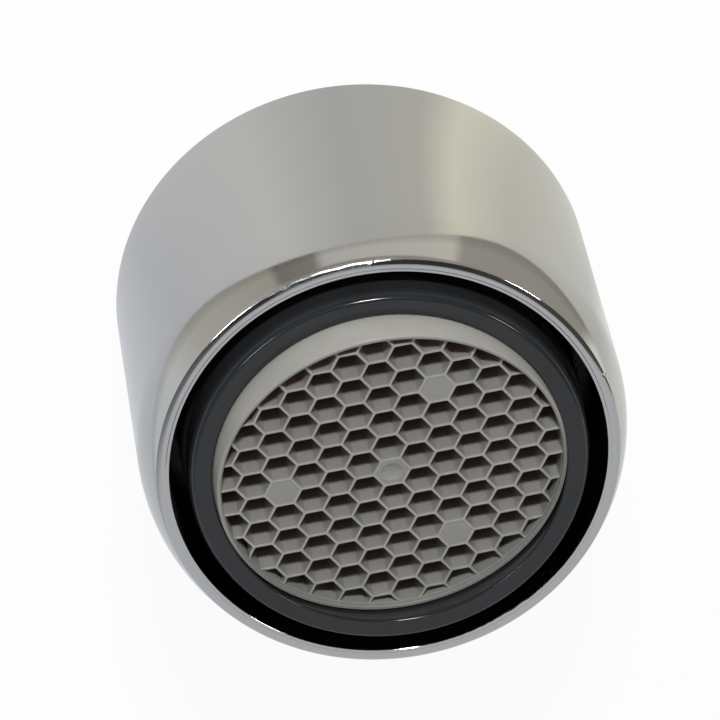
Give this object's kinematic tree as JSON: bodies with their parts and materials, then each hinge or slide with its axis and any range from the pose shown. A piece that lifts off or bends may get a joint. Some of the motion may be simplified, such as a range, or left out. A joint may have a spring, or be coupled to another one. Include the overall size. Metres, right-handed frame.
{
  "type": "tap aerator",
  "caption": "Screw-on tap aerator: chrome sleeve with an inside thread, a dark holder ring and a light grey swivelling ball outlet with a honeycomb face",
  "frame": {"origin": "centre of the inlet end, where the spout screws in", "axes": "+Z along the bore towards the outlet; X is the axis on which the outlet ball leans; the outlet leans towards -Y"},
  "size_m": [0.024, 0.024, 0.0187],
  "materials": {
    "plated_sleeve": "bright chrome plating on brass",
    "washer_rubber": "smooth moulded rubber",
    "filter_plastic": "fine moulded mesh",
    "insert_plastic": "moulded acetal",
    "holder_plastic": "satin moulded acetal",
    "outlet_plastic": "moulded acetal"
  },
  "bodies": {
    "sleeve": {"housing_sleeve": "plated_sleeve", "seal_washer": "washer_rubber", "filter_screen": "filter_plastic", "jet_plate": "insert_plastic", "swivel_holder": "holder_plastic", "ball_seat_ring": "insert_plastic"},
    "outlet": {"swivel_ball": "outlet_plastic", "mixing_grid": "insert_plastic"}
  },
  "joints": [
    {"name": "outlet_swivel", "type": "hinge", "parent": "sleeve", "child": "outlet", "pos_m": [0, 0, 0.01507], "axis": [1, 0, 0], "range_deg": [-19.3, 0.7]}
  ]
}
